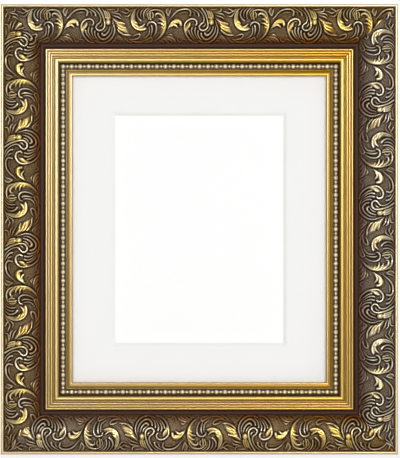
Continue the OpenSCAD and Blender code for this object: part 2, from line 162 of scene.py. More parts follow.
def moulding_run(name, side, outline, finishes, choose):
    """A mitred length of moulding from an outline of (inward, height) in millimetres. Its
    UV map runs along the rail and round the outline, in metres. Each long face gets the
    finish that choose(inward, height) gives for its middle, and each mitre that of the
    back's outer corner."""
    _, _, half_length = SIDE_AXES[side]
    clear_selection()
    bpy.ops.mesh.primitive_circle_add(vertices=len(outline), fill_type="NGON")
    run = bpy.context.object
    run.name = run.data.name = name
    for corner, (inward, height) in zip(run.data.vertices, outline):
        corner.co = (-half_length, height * MM, inward * MM)
    edit_all()
    bpy.ops.mesh.extrude_region_move(TRANSFORM_OT_translate={"value": (2 * half_length, 0, 0)})
    for end in (-1, 1):
        cut_away((end * half_length, 0, 0), (end, 0, 1))
    end_editing()

    for finish in finishes:
        run.data.materials.append(finish)
    points = np.array(outline)
    steps = np.hypot(*(np.roll(points, -1, axis=0) - points).T)
    travelled = np.concatenate([[0], np.cumsum(steps)])
    count = len(outline)
    places = corners_of(run.data)
    near = [np.hypot(*(points - (z / MM, y / MM)).T).argmin() for _, y, z in places]
    uv = run.data.uv_layers.new(name="run")
    for face in run.data.polygons:
        used = sorted({near[v] for v in face.vertices})
        closing = used == [0, count - 1]
        for loop in face.loop_indices:
            v = run.data.loops[loop].vertex_index
            round_it = travelled[count if closing and near[v] == 0 else near[v]] * MM
            uv.data[loop].uv = (places[v][0], round_it)
        centre = points[used].mean(axis=0) if len(used) == 2 else (0, 0)
        face.material_index = finishes.index(choose(*centre))
    run.data.transform(side_matrix(side))
    return run


def smooth_over(piece, degrees):
    clear_selection()
    piece.select_set(True)
    bpy.context.view_layer.objects.active = piece
    bpy.ops.object.shade_smooth_by_angle(angle=math.radians(degrees))


def carry(piece, body, slot, *nodes):
    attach(piece, body)
    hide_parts(*nodes)


def colour(code):
    """A linear colour from an sRGB hex value such as #c8a050."""
    channels = [int(code[i:i + 2], 16) / 255 for i in (1, 3, 5)]
    return (*[c / 12.92 if c <= 0.04045 else ((c + 0.055) / 1.055) ** 2.4 for c in channels], 1)


def put(finish, socket, value):
    """Gives a node's input a number, a hex colour, or a link from another node's output."""
    if isinstance(value, bpy.types.NodeSocket):
        finish.node_tree.links.new(value, socket)
    else:
        socket.default_value = colour(value) if isinstance(value, str) else value


def add(finish, kind, inputs=None, give=None, **settings):
    """Adds a node with its settings and inputs, which are named or numbered as the node
    shows them. Returns its first output, or the one that give names."""
    made = finish.node_tree.nodes.new("ShaderNode" + kind)
    for setting, value in settings.items():
        setattr(made, setting, value)
    shown = [socket for socket in made.inputs if socket.enabled]
    for name, value in (inputs or {}).items():
        at = name if isinstance(name, int) else [socket.name for socket in shown].index(name)
        put(finish, shown[at], value)
    if give:
        return made.outputs[give]
    return next((output for output in made.outputs if output.enabled), None)


def blend(finish, share, start, end):
    """A colour between two, which are hex colours or outputs."""
    return add(finish, "Mix", {"Factor": share, "A": start, "B": end}, data_type="RGBA")


def remap(finish, value, span=(0, 1), to=(0, 1), **settings):
    """A value that runs over one span, fitted to another and held to it."""
    return add(finish, "MapRange", {"Value": value, "From Min": span[0], "From Max": span[1],
                                    "To Min": to[0], "To Max": to[1]}, **settings)


def combine(finish, operation, a, b):
    return add(finish, "Math", {0: a, 1: b}, operation=operation)


def shade(finish, **sockets):
    """Sets or links sockets of a material's Principled shader."""
    shader = finish.node_tree.nodes["Principled BSDF"]
    for name, value in sockets.items():
        put(finish, shader.inputs[name.replace("_", " ")], value)


def new_finish(name, **sockets):
    """A material with a Principled shader."""
    finish = bpy.data.materials.new(name)
    finish.use_nodes = True
    shade(finish, **sockets)
    return finish


def mottled(finish, scale, dark, light, spread=None, rough=None, bump=None, **noise):
    """Mottles a finish between two colours. Scale is the patches in a metre, or a pair of
    these for along a run and round it. Spread is the part of the noise that the colours
    cover, rough the roughness of the dark and the light, bump its strength and height."""
    if isinstance(scale, tuple):
        run = add(finish, "TexCoord", give="UV")
        place = add(finish, "Mapping", {"Vector": run, "Scale": (*scale, 1)})
        scale = 1.0
    else:
        place = add(finish, "TexCoord", give="Object")
    pattern = share = add(finish, "TexNoise", {"Vector": place, "Scale": scale, **noise})
    if spread:
        share = remap(finish, pattern, spread)
    tone = blend(finish, share, dark, light)
    shade(finish, Base_Color=tone)
    if rough:
        shade(finish, Roughness=remap(finish, share, to=rough))
    if bump:
        shade(finish, Normal=add(finish, "Bump", {"Height": pattern, "Strength": bump[0],
                                                  "Distance": bump[1] * MM}))
    return tone


# Bronze lacquer: a satin sprayed coat, darker where it pools, in patches 11 mm across. Its
# metal powder is too fine to show, and is drawn as specks of 0.6 mm.
lacquer = new_finish("bronze lacquer", Metallic=0.25, Roughness=0.42,
                     Specular_IOR_Level=0.15)
mottled(lacquer, (90, 90), "#231209", "#452818", Detail=4.0)
powder = add(lacquer, "TexNoise", {"Vector": add(lacquer, "TexCoord", give="Object"),
                                   "Scale": 1600.0})
shade(lacquer, Roughness=remap(lacquer, powder, to=(0.34, 0.52)),
      Normal=add(lacquer, "Bump", {"Height": powder, "Strength": 0.12, "Distance": 0.1 * MM}))

# Rubbed gold wax on the rim: pale metal worn by hand in streaks 17 mm long and 1.1 mm
# wide, with the brown coat showing through.
rim_gold = new_finish("rubbed gold wax", Metallic=0.75, Roughness=0.3)
mottled(rim_gold, (60, 900), "#b4935a", "#ebdbb2", spread=(0.3, 0.62), rough=(0.45, 0.28),
        bump=(0.15, 0.2), Detail=6.0, Roughness=0.6)

# Bare pine: planed softwood, its grain along the rail, with darker late wood in lines
# 4 mm apart that run on for 140 mm.
pine = new_finish("planed pine", Roughness=0.62)
mottled(pine, (7, 260), "#b98a56", "#dfc196", spread=(0.35, 0.68), bump=(0.2, 0.2),
        Detail=5.0, Roughness=0.65, Distortion=0.6)

rim_foot = rim_height - rim_width / 2
ground = arc((rim_width, band_outer_height), (band_end, band_inner_height), band_rise,
             band_facets) + [(band_end, band_inner_height)]
rail_outline = eased(
    [(0, 0)]
    + arc((0, rim_foot), (rim_width, rim_foot), rim_width / 2, rim_facets)
    + [(rim_width, rim_foot)]
    + [(inward, height - layer_depth) for inward, height in ground]
    + [(band_end, ledge_height)]
    + arc((ledge_end, ledge_height), (rail_width, ledge_height), -quirk_depth, quirk_facets)
    + [(rail_width, ledge_height), (rail_width, 0)], rail_easing)


def rail_finish(inward, height):
    if height < bare_below:
        return pine
    return rim_gold if inward < rim_width and height > rim_foot - rim_gold_depth else lacquer


for side in SIDES:
    rail = moulding_run(f"pine_rail_{side}", side, rail_outline, (lacquer, rim_gold, pine),
                        rail_finish)
    smooth_over(rail, degrees=40)
    carry(rail, "frame", "bronzed_wood", f"rail_{side}")


# The scrollwork. Composition, a paste of whiting, resin and glue, pressed in a mould and
# glued to the band while soft. It is bronzed, and gold is rubbed over what stands proud.

# One repeat of the mould is drawn on squares, from the rim (row 5) to the ledge (row 40.5).
repeat_length = 98.8
drawing_squares = 103.0
drawing_first_row = 5.0
drawing_rows = 35.5
square = repeat_length / drawing_squares
repeat_starts = {"top": 18.3, "right": 16.6, "bottom": 61.9, "left": 21.8}
relief_rise = 1.72
ground_sink = 0.25
edge_slope = 0.012  # share of the band over which the relief runs out at its edges
leaf_fullness, strand_fullness = 0.8, 0.7

# The maps of the relief have 10 steps to a square, and the grid on the rail one to 0.43 mm.
map_steps = 10
path_steps = 8
grid_pitch = 0.43
grid_rows = 94

# Leaf bodies: width at the start, in the middle and at the end, height, and the spine.
LEAVES = [
    (2.5, 6.0, 2.7, 0.90, [(12, 9.5), (10.2, 15), (10.8, 20), (13.2, 24.2), (18, 26.2),
        (22, 25.6)]),
    (2.7, 5.6, 3.4, 0.60, [(27.5, 9), (27.3, 12.6), (27.5, 16.2)]),
    (3.4, 6.3, 2.2, 0.80, [(36, 10), (39.8, 15), (40.6, 21), (40.2, 26), (37.8, 31.5)]),
    (1.7, 4.9, 3.8, 0.95, [(46, 25.5), (49.2, 21.6), (53, 19.8), (57, 20.4)]),
    (2.2, 5.2, 2.2, 0.90, [(67, 20.4), (65.4, 23.4), (63.8, 26.5), (63.8, 30)]),
    (3.4, 6.0, 4.5, 0.85, [(86, 9.5), (87.8, 14), (88.4, 18.5)]),
    (5.1, 5.7, 5.1, 1.60, [(88.3, 19.3), (88.4, 20), (88.4, 20.7)]),
    (1.7, 8.3, 2.2, 0.90, [(93.5, 16.5), (99.5, 22.5), (104, 27), (109, 31.5)]),
    (1.7, 4.5, 1.1, 0.45, [(39, 36.5), (45, 35.8), (50, 37), (53, 39.4)]),
    (1.6, 4.3, 1.6, 0.60, [(45.4, 6), (45.2, 10), (45.4, 13.2)]),
    (1.1, 3.4, 1.1, 0.35, [(20, 39), (25, 38.2), (29, 37)]),
    (1.1, 3.8, 1.1, 0.40, [(85, 8.5), (91, 8.6), (97, 8)]),
    (1.1, 3.4, 1.1, 0.35, [(94, 36.5), (98.5, 35), (103, 38)]),
]

# Strands: the same, with narrow rounded crests.
STRANDS = [
    # The first scroll: its outer leaf and lobes
    (1.0, 2.2, 1.8, 1.25, [(15.5, 5.5), (12, 8.2), (9.6, 12.5), (8.7, 17.5), (9.4, 21.5),
        (12, 25.6), (16, 27.5), (20, 27.7), (23, 26.6)]),
    (1.0, 2.5, 1.4, 1.40, [(9.6, 16.5), (11.2, 19), (13, 20.6), (14.6, 21.4)]),
    (1.0, 2.6, 1.9, 1.50, [(10, 20.2), (11.8, 22.4), (14.8, 23.8)]),
    (1.1, 2.2, 1.5, 1.45, [(13, 24.6), (16.5, 25.2), (19.5, 24.2), (22, 21.9)]),
    (0.9, 1.4, 0.9, 0.95, [(12.6, 9.5), (11.4, 12.5), (11.6, 15.5)]),
    # The comb that falls into it from the rim
    (1.1, 1.8, 2.5, 1.15, [(19, 5.4), (16.2, 8), (14.6, 11), (14.6, 14), (16, 16.8),
        (18.2, 18.7)]),
    (1.0, 1.5, 1.1, 1.00, [(22.4, 5.5), (19.4, 8.2), (18, 11), (17.8, 14), (18.4, 15.8)]),
    (1.1, 1.7, 1.5, 1.15, [(26, 5.5), (23, 7.6), (21.2, 10.6), (20.8, 13.8), (21.2, 16.8)]),
    (1.0, 1.5, 1.0, 1.00, [(29.4, 6), (26.6, 7.2), (24.4, 9.4), (23.2, 12.2), (23, 15)]),
    # Its bulb and the arch over it
    (0.9, 1.5, 1.3, 1.35, [(25.6, 10.5), (24.7, 13.5), (26.0, 17.4)]),
    (0.9, 1.6, 1.9, 1.55, [(27.3, 10), (27.2, 14), (28.0, 17.6)]),
    (0.9, 1.7, 1.6, 1.50, [(29.2, 10), (30.5, 12.8), (30.0, 15.6)]),
    (1.1, 2.0, 1.5, 1.20, [(26.2, 9.8), (29.2, 8.2), (33, 7.6), (37, 8.4), (40, 10.8),
        (41.6, 14.4)]),
    (1.4, 2.1, 1.4, 1.30, [(32.6, 14.2), (33, 12.2), (35.4, 11.6), (38.2, 13), (41, 16.4)]),
    (1.2, 2.2, 1.4, 1.40, [(35.8, 17), (38, 17.4), (40.4, 19), (41.8, 21.6)]),
    (1.2, 2.2, 1.4, 1.40, [(34.8, 21), (37.6, 21.2), (40.2, 22.4), (41.6, 24.8)]),
    (0.9, 1.9, 1.1, 1.30, [(38, 24.8), (39.8, 25.2), (40.8, 27)]),
    (1.1, 3.0, 1.1, 1.60, [(41.4, 15), (42.3, 19), (42.2, 24), (40.8, 29.2), (38, 33.4),
        (33.5, 37.4)]),
    # The hook in its eye and the strands that run down from it
    (1.6, 1.9, 1.2, 1.30, [(24.6, 23.7), (25.4, 21.4), (28.2, 20.1), (31.2, 20.6), (33.2, 23),
        (33.6, 27), (32.6, 31), (30.4, 34.4)]),
    (1.5, 1.8, 1.1, 1.20, [(28.6, 23.1), (29.4, 26), (29, 30), (27.9, 33.8)]),
    (1.2, 1.7, 1.1, 1.15, [(26.4, 24.6), (26.7, 28), (26, 31.8), (23.6, 34.2), (20.8, 35.8)]),
    # Leaves along the ledge under it
    (1.1, 1.9, 1.5, 1.05, [(-4.8, 28.8), (-1.5, 31), (2.6, 32.6), (8.2, 32.9)]),
    (1.0, 1.6, 1.1, 0.85, [(1.6, 35.6), (4, 37.8), (7, 39.4), (9, 40)]),
    (1.1, 1.8, 1.1, 1.00, [(9.6, 34), (12.4, 32.6), (16.6, 31.9), (17.2, 33.6), (14.6, 36),
        (10, 36.9), (6.6, 36.6)]),
    (1.0, 1.9, 1.1, 0.90, [(7, 37.2), (11, 39), (16, 39.5), (20, 39)]),
    (1.0, 1.8, 1.1, 0.95, [(20, 38.2), (24.4, 36.6), (28, 35.1), (29.4, 36.4), (28, 38.6),
        (22.6, 39.8)]),
    (0.9, 1.4, 1.0, 0.80, [(31, 38.6), (34, 36.9), (36, 36)]),
    # The leaf between the scrolls
    (1.0, 2.8, 3.1, 1.60, [(45, 26.8), (47.4, 23.2), (50.2, 19.8), (54, 18.7), (57.2, 19.8),
        (58, 22.8)]),
    (0.9, 2.5, 1.6, 1.45, [(47.6, 25), (50.2, 23), (52.4, 23.2), (54.6, 25.2)]),
    (0.7, 1.4, 0.9, 0.85, [(51.5, 17.4), (54.5, 16.9), (57.6, 17.4)]),
    (0.7, 1.1, 0.7, 0.55, [(48.4, 27.6), (50.6, 28.2), (51, 30.4)]),
    # The vine that arches under the rim, and the small leaf before it
    (1.1, 1.9, 1.9, 1.20, [(46.4, 17.6), (49.2, 14.8), (52.6, 10.8), (56.8, 7.9), (61.4, 6.9),
        (65.4, 7.4), (67.8, 10), (67.1, 13.6)]),
    (0.7, 1.5, 1.0, 0.80, [(55, 12.4), (58.6, 10.8), (62, 10.2), (65.2, 10.7)]),
    (1.0, 1.6, 1.4, 1.00, [(46.2, 5.6), (44, 7.4), (43.4, 10), (45, 13.4)]),
    (0.9, 1.6, 1.4, 1.00, [(49.4, 5.6), (47.6, 8), (47, 10.6), (45.8, 13.6)]),
    (0.9, 1.2, 0.9, 0.80, [(39.8, 7.8), (41, 9.2), (42.4, 10.4)]),
    # The feather leaf and the curl along the ledge
    (0.9, 1.9, 1.1, 1.00, [(44.8, 33), (47.8, 32.2), (50.4, 34)]),
    (1.0, 1.9, 1.1, 1.00, [(41, 34.4), (46, 34.5), (50.6, 36.2), (53, 39.2)]),
    (0.9, 1.6, 1.0, 0.85, [(43.6, 36.2), (47, 37), (49.6, 39.2)]),
    (0.9, 1.6, 1.0, 0.85, [(40, 36.2), (43, 37.4), (45.6, 39.4)]),
    (0.9, 1.5, 1.0, 0.75, [(36.6, 38.2), (39, 38.4), (41.4, 39.8)]),
    (1.0, 1.6, 1.1, 0.85, [(54.2, 35), (55.2, 38), (57.2, 39), (59, 37.2)]),
    (0.7, 1.4, 0.9, 0.70, [(59, 36.6), (62.4, 37), (65.4, 38.6)]),
    # The second scroll: its outer ring
    (1.9, 2.1, 1.2, 1.25, [(72.6, 23.4), (74, 21.2), (72.8, 18.2), (69.4, 16.9), (65.4, 18.2),
        (62.4, 21.4), (61.7, 25.4), (62.8, 30.8), (65.6, 35.6), (69.6, 39), (74.4, 40)]),
    (1.5, 2.6, 2.2, 1.45, [(62.8, 28.4), (64.4, 25.8), (66.2, 23.8), (67, 21.4)]),
    (1.1, 1.9, 1.2, 1.30, [(92.6, 18.4), (93.8, 22.4), (95, 27), (94, 32), (90.8, 36.6),
        (86, 39.5), (80, 39.8), (75.6, 38)]),
    (0.9, 1.4, 0.9, 0.85, [(71.2, 20.2), (69.4, 19.4), (67.8, 20.4)]),
    # Its fan of strands
    (1.8, 1.7, 1.0, 1.15, [(66, 28.3), (66.4, 30.4), (68.2, 33.4), (71, 36.6)]),
    (1.8, 1.7, 1.0, 1.20, [(69.3, 25.4), (68.6, 28.6), (69.8, 32.2), (72.6, 35.8)]),
    (2.0, 1.7, 1.0, 1.25, [(72.5, 25.8), (71.9, 29), (72.8, 32.4), (74.8, 36)]),
    (1.9, 1.7, 1.0, 1.20, [(75.1, 28.8), (75, 31.6), (76.4, 35.2), (79.4, 38.2)]),
    (2.1, 1.9, 1.1, 1.35, [(78.2, 31.2), (79, 34), (82, 36.6), (85.6, 36.3), (89.4, 33.4),
        (92, 29.2), (92.6, 24.4)]),
    (2.3, 1.9, 1.2, 1.40, [(82.2, 31.3), (83.6, 32.9), (86.4, 31.8), (89, 28.6), (90.4, 24.2)]),
    (0.9, 1.5, 1.1, 1.00, [(82.6, 30), (85, 28.8), (86.8, 26.6), (87.4, 24.2)]),
    # The comb that falls into it, with the hook in its eye
    (1.1, 1.8, 2.2, 1.15, [(66.6, 5.4), (70.2, 7.2), (73.6, 9.4), (75.4, 11.4), (76, 13.8)]),
    (0.9, 1.7, 1.1, 0.95, [(69, 8.8), (71.2, 10.6), (72.2, 13.8)]),
    (1.1, 1.9, 2.0, 1.25, [(71.4, 5.5), (75.6, 7.8), (79, 11.6), (81, 16), (80.6, 20),
        (77.6, 22.6), (76.3, 25.4), (78.4, 28), (82, 27.9), (84.6, 25.2), (85, 21.4),
        (84, 16.6), (82, 11.4), (78.6, 6)]),
    (0.9, 1.5, 1.1, 1.00, [(82.5, 20.4), (82.4, 22.8), (80.4, 24.6)]),
    (0.7, 1.1, 0.7, 0.60, [(76.8, 15.8), (77.6, 18), (76.6, 20)]),
    # Its bulb
    (0.9, 1.6, 1.4, 1.15, [(82, 6.4), (84.4, 10), (86, 15.6)]),
    (0.9, 1.6, 1.4, 1.15, [(85.2, 8.8), (87.4, 12), (88.1, 16)]),
    (0.9, 1.6, 1.4, 1.15, [(87.8, 9), (89.6, 12.4), (90.2, 16)]),
    # Leaves under the rim up to the next repeat
    (1.0, 1.6, 1.5, 1.00, [(90.4, 9.9), (94.6, 10), (97.8, 9), (98.2, 6.3)]),
    (0.9, 1.6, 1.1, 0.85, [(85.6, 6.8), (90, 7.4), (96, 6.6)]),
    (1.0, 1.8, 1.1, 1.00, [(90.6, 10.8), (95.2, 11.4), (99.4, 12.2), (101.6, 14.6)]),
    (1.0, 1.8, 1.1, 1.00, [(92.2, 12.8), (95.4, 14.2), (98.6, 15.2), (101.6, 17.4)]),
    (1.7, 1.6, 1.1, 1.00, [(2.6, 6.8), (5.4, 8), (7, 9.4), (9.4, 7.8), (12, 7)]),
    (1.0, 1.6, 1.1, 0.95, [(-3, 9.2), (0, 10), (3.2, 11.2), (6.6, 9.6)]),
    (1.0, 1.7, 1.1, 0.95, [(1, 13.6), (4.4, 14.6), (7, 12.8), (8.8, 10), (10.6, 7.6)]),
    # The broad leaf that runs into the next repeat
    (1.0, 2.0, 1.7, 1.40, [(93, 16.8), (95.4, 18.6), (98.6, 20.6), (102, 21), (105, 22)]),
    (1.0, 2.6, 1.7, 1.55, [(96.6, 20.6), (99.4, 23.4), (102.4, 24.8), (106, 26)]),
    (1.0, 2.3, 1.5, 1.45, [(97.4, 23.6), (100, 26.6), (104.6, 28.8)]),
    (1.0, 2.0, 1.7, 1.30, [(97.6, 26.8), (99.6, 29.4), (103.4, 31.8)]),
    (1.0, 1.6, 1.1, 0.85, [(95.4, 36), (98, 33.4), (101, 35.4), (104, 38.8)]),
    (0.7, 1.4, 1.0, 0.75, [(97.8, 36.4), (99.4, 36), (101, 39)]),
    (0.7, 1.4, 1.0, 0.75, [(92, 40), (94.4, 37.6), (96.8, 39.6)]),
]


def smooth_path(points):
    """A Catmull-Rom path through points."""
    p = np.array(points, float)
    p = np.vstack([2 * p[0] - p[1], p, 2 * p[-1] - p[-2]])
    t = np.linspace(0, 1, path_steps, endpoint=False)[:, None]
    runs = [(2 * b + (c - a) * t + (2 * a - 5 * b + 4 * c - d) * t**2
             + (3 * b - a - 3 * c + d) * t**3) / 2
            for a, b, c, d in zip(p[:-3], p[1:-2], p[2:-1], p[3:])]
    return np.vstack([*runs, p[-2:-1]])


columns = (np.arange(int(drawing_squares * map_steps)) + 0.5) / map_steps
rows = (np.arange(int(drawing_rows * map_steps)) + 0.5) / map_steps + drawing_first_row


def press(surface, strokes, fullness):
    """Raises each stroke on the map of one repeat, which joins up with the next."""
    for first, mid, last, high, points in strokes:
        path = smooth_path(points)
        t = np.linspace(0, 1, len(path))
        widths = first * (1 - t) * (1 - 2 * t) + 4 * mid * t * (1 - t) + last * t * (2 * t - 1)
        widest = max(first, mid, last)
        for shift in (-drawing_squares, 0, drawing_squares):
            line = path + (shift, 0)
            for a, b, width_a, width_b in zip(line[:-1], line[1:], widths[:-1], widths[1:]):
                reach = max(width_a, width_b) / 2 + 1 / map_steps
                start, end = np.minimum(a, b) - reach, np.maximum(a, b) + reach
                x0, x1 = np.searchsorted(columns, (start[0], end[0]))
                y0, y1 = np.searchsorted(rows, (start[1], end[1]))
                if x0 >= x1 or y0 >= y1:
                    continue
                across, down = columns[x0:x1][None, :], rows[y0:y1][:, None]
                run = b - a
                t_near = ((across - a[0]) * run[0] + (down - a[1]) * run[1]) / (run @ run)
                t_near = np.clip(t_near, 0, 1)
                off = np.hypot(across - a[0] - t_near * run[0], down - a[1] - t_near * run[1])
                half = (width_a + (width_b - width_a) * t_near) / 2
                crest = np.clip(1 - (off / half)**2, 0, 1)**fullness
                part = surface[y0:y1, x0:x1]
                np.maximum(part, high * np.sqrt(2 * half / widest) * crest, out=part)


def blurred(surface, reach):
    """The map softened over reach squares. It wraps round along the rail."""
    steps = int(3 * reach * map_steps)
    weights = np.exp(-0.5 * (np.arange(-steps, steps + 1) / (reach * map_steps))**2)
    weights /= weights.sum()
    wide = np.concatenate([surface[:, -steps:], surface, surface[:, :steps]], axis=1)
    wide = np.apply_along_axis(np.convolve, 1, wide, weights, "valid")
    tall = np.pad(wide, ((steps, steps), (0, 0)), mode="edge")
    return np.apply_along_axis(np.convolve, 0, tall, weights, "valid")


def ramp(surface, start, end):
    return np.clip((surface - start) / (end - start), 0, 1)


# The relief, softened as the paste leaves the mould, and the maps for its finish: hollow
# where it lies lower than what is around, which carries patina and painted shade, full on
# broad leaves, and proud where a cloth with gold wax rubs, most on the leaf bodies and least
# on thin strands that stand alone.
mould_softness = 0.16
body_reach, finger_reach, around_reach, leaf_reach = 0.3, 0.5, 1.1, 1.6
alone_share = 0.35
body_extra = 0.5
relief = np.zeros((len(rows), len(columns)))
press(relief, LEAVES, leaf_fullness)
bodies = ramp(blurred(relief, body_reach), 0, 0.6)
press(relief, STRANDS, strand_fullness)
relief = blurred(relief, mould_softness)
around = blurred(relief, around_reach)
full = ramp(blurred(relief, leaf_reach), 0, 1)
hollow = ramp(around - relief, 0, 0.45)
proud = ramp(relief - around / 2, 0.12, 0.82)
proud *= alone_share + (1 - alone_share) * ramp(blurred(relief, finger_reach), 0.15, 0.75)
proud *= 1 + body_extra * bodies
relief *= relief_rise / relief.max()


def sample(surface, along, share):
    """Reads a map at distances along a rail and shares across the band."""
    x = along / square * map_steps - 0.5
    y = np.clip(share * len(rows) - 0.5, 0, len(rows) - 1.001)
    x0, y0 = np.floor(x).astype(int), np.floor(y).astype(int)
    fx, fy = x - x0, y - y0
    x1 = (x0 + 1) % len(columns)
    x0 = x0 % len(columns)
    upper = surface[y0, x0] * (1 - fx) + surface[y0, x1] * fx
    lower = surface[y0 + 1, x0] * (1 - fx) + surface[y0 + 1, x1] * fx
    return upper * (1 - fy) + lower * fy


band_arc = np.array(arc((rim_width, band_outer_height), (band_end, band_inner_height),
                        band_rise, grid_rows) + [(band_end, band_inner_height)])


def mark(piece, name, values):
    """Writes a number at each vertex for the material, 0 past the last of the values."""
    filled = np.zeros(len(piece.data.vertices))
    filled[:len(values)] = values
    piece.data.attributes.new(name, "FLOAT", "POINT").data.foreach_set("value", filled)


def marked(finish, *names):
    """What mark() wrote at the vertices, an output for each name."""
    return [add(finish, "Attribute", give="Fac", attribute_name=name) for name in names]


def close_under(mesh, top_count):
    """Closes the underside with one strip between each pair of places on the two mitres."""
    places = corners_of(mesh)
    _, _, inward = places[top_count:].T
    order = np.lexsort((places[top_count:, 0], inward))
    starts = np.flatnonzero(np.diff(inward[order]) > 1e-6) + 1
    lines = [line.tolist() for line in np.split(order + top_count, starts)]
    faces = [list(face.vertices) for face in mesh.polygons]
    faces += [near + far[::-1] for near, far in zip(lines[:-1], lines[1:])]
    mesh.clear_geometry()
    mesh.from_pydata(places, [], faces)


def scrollwork(side):
    """The pressed layer on one rail: a fine grid, raised by the map, with closed edges."""
    _, _, half_length = SIDE_AXES[side]
    length = 2 * half_length / MM
    count = int(round((length - 2 * rim_width) / grid_pitch))
    clear_selection()
    bpy.ops.mesh.primitive_grid_add(x_subdivisions=count, y_subdivisions=grid_rows, size=2)
    piece = bpy.context.object
    piece.name = piece.data.name = f"scrollwork_{side}"
    mesh = piece.data
    flat = corners_of(mesh)
    inward, height = band_arc[np.rint((flat[:, 1] + 1) / 2 * grid_rows).astype(int)].T
    along = flat[:, 0] * (length / 2 - inward)
    share = (inward - rim_width) / band_width
    place = along + length / 2 - repeat_starts[side]
    edge = np.clip(np.minimum(share, 1 - share) / edge_slope, 0, 1)
    height = height + (sample(relief, place, share) - ground_sink) * edge
    mesh.vertices.foreach_set("co", (np.stack([along, height, inward], 1) * MM).ravel())

    down = (0, -layer_depth * MM, 0)
    edit_all()
    bpy.ops.mesh.region_to_loop()
    bpy.ops.mesh.extrude_region_move(TRANSFORM_OT_translate={"value": down})
    bpy.ops.object.mode_set(mode="OBJECT")
    for corner in mesh.vertices[len(flat):]:
        corner.co.y = (np.interp(corner.co.z / MM, *band_arc.T) - layer_depth) * MM
    close_under(mesh, len(flat))
    edit_all()
    end_editing()
    for name, surface in (("proud", proud), ("hollow", hollow), ("full", full)):
        mark(piece, name, sample(surface, place, share))
    mark(piece, "across", share)
    corners = np.zeros(len(mesh.loops), int)
    mesh.loops.foreach_get("vertex_index", corners)
    mesh.uv_layers.new(name="run").data.foreach_set(
        "uv", corners_of(mesh)[corners][:, [0, 2]].ravel())
    mesh.transform(side_matrix(side))
    return piece


# Bronzed composition: umber patina with painted shade in the hollows, dull bronze with the
# mould's hatching on the ground, in lines 1.2 mm apart, brown gold on the flanks and bright
# gold rubbed on the crests, yellower on the full leaves. The gold comes and goes over 9 mm,
# and the pressure of the hand over 13 mm. The ground runs redder and darker and the gold
# browner towards the ledge, and each side has its own painted light, a painted tint and
# brightness for how the light falls on that rail.
# Painted light for each side: a painted tint for the whole layer and a painted brightness for
# its ground, for how the light falls on that rail.
band_warmth = {"top": (0.93, 1.3), "right": 0.8, "bottom": (1.28, 0.85), "left": 1.13}
ground_lightness = {"top": 1.0, "right": 1.0, "bottom": 1.3, "left": 1.0}
hatching_angle = 0.8  # radians off the rail
bronzed = new_finish("bronzed composition", Metallic=0.6, Roughness=0.4,
                     Specular_IOR_Level=0.15)
proud_of, hollow_of, full_of, across_of, warmth, lightness = marked(
    bronzed, "proud", "hollow", "full", "across", "warmth", "lightness")
place = add(bronzed, "TexCoord", give="Object")
turned = add(bronzed, "Mapping", {"Vector": add(bronzed, "TexCoord", give="UV"),
                                  "Rotation": (0, 0, hatching_angle)})
hatch = add(bronzed, "TexWave", {"Vector": turned, "Scale": 260.0, "Distortion": 9.0,
                                 "Detail": 3.0, "Detail Scale": 2.5,
                                 "Detail Roughness": 0.65}, give="Fac")
patches = add(bronzed, "TexNoise", {"Vector": place, "Scale": 110.0, "Detail": 5.0,
                                    "Roughness": 0.6})
hand = add(bronzed, "TexNoise", {"Vector": place, "Scale": 75.0, "Detail": 2.0})
pressure = remap(bronzed, hand, (0.35, 0.62), (0.6, 1.1))
rubbed = combine(bronzed, "MULTIPLY", proud_of, pressure)
# Umber patina and painted shade, darkest where the relief lies lower than around it.
hollow_patina_and_shade = remap(bronzed, hollow_of, (0.04, 0.6))
on_flank = remap(bronzed, rubbed, (0.1, 0.36))
on_crest = remap(bronzed, rubbed, (0.26, 0.85), interpolation_type="SMOOTHSTEP")
on_leaf = remap(bronzed, full_of, (0.45, 0.85))
inner_end = remap(bronzed, across_of, (0.68, 0.97))
by_ledge = remap(bronzed, across_of, (0.8, 1), (0, 0.6))
ground_tone = blend(bronzed, hatch, "#322416", "#8a7458")
coat = add(bronzed, "HueSaturation", {"Color": ground_tone, "Value": lightness})
for cover, tone in ((hollow_patina_and_shade, "#190b02"), (by_ledge, "#421a10"), (on_flank, "#8e6a3a")):
    coat = blend(bronzed, cover, coat, tone)
gold = "#dccba4"
for cover, tone in ((patches, "#fffcf2"), (on_leaf, "#fae29a"), (inner_end, "#ad7248")):
    gold = blend(bronzed, cover, gold, tone)
metal = blend(bronzed, on_crest, coat, gold)
fine = combine(bronzed, "MULTIPLY", hatch, patches)
shade(bronzed,
      Base_Color=add(bronzed, "HueSaturation", {"Color": metal, "Saturation": warmth}),
      Roughness=remap(bronzed, on_crest, to=(0.55, 0.28)),
      Metallic=remap(bronzed, on_flank, to=(0.25, 0.95)),
      Normal=add(bronzed, "Bump", {"Height": fine, "Strength": 0.2, "Distance": 0.2 * MM}))


def paint_side_light(piece, side, **painted_lights):
    """Marks the painted light of one side, a painted tint and brightness that stand in for
    how the light falls on it, for its material. A pair gives it where the rail starts and
    ends, clockwise."""
    along, _, half_length = SIDE_AXES[side]
    gone = np.dot(corners_of(piece.data) - np.array(middle), along) / half_length
    for name, by_side in painted_lights.items():
        mark(piece, name, np.interp(gone, (-1, 1), np.broadcast_to(by_side[side], 2)))


for side in SIDES:
    piece = scrollwork(side)
    piece.data.materials.append(bronzed)
    paint_side_light(piece, side, warmth=band_warmth, lightness=ground_lightness)
    smooth_over(piece, degrees=50)
    carry(piece, "frame", "bronzed_composition", f"ornament_{side}")
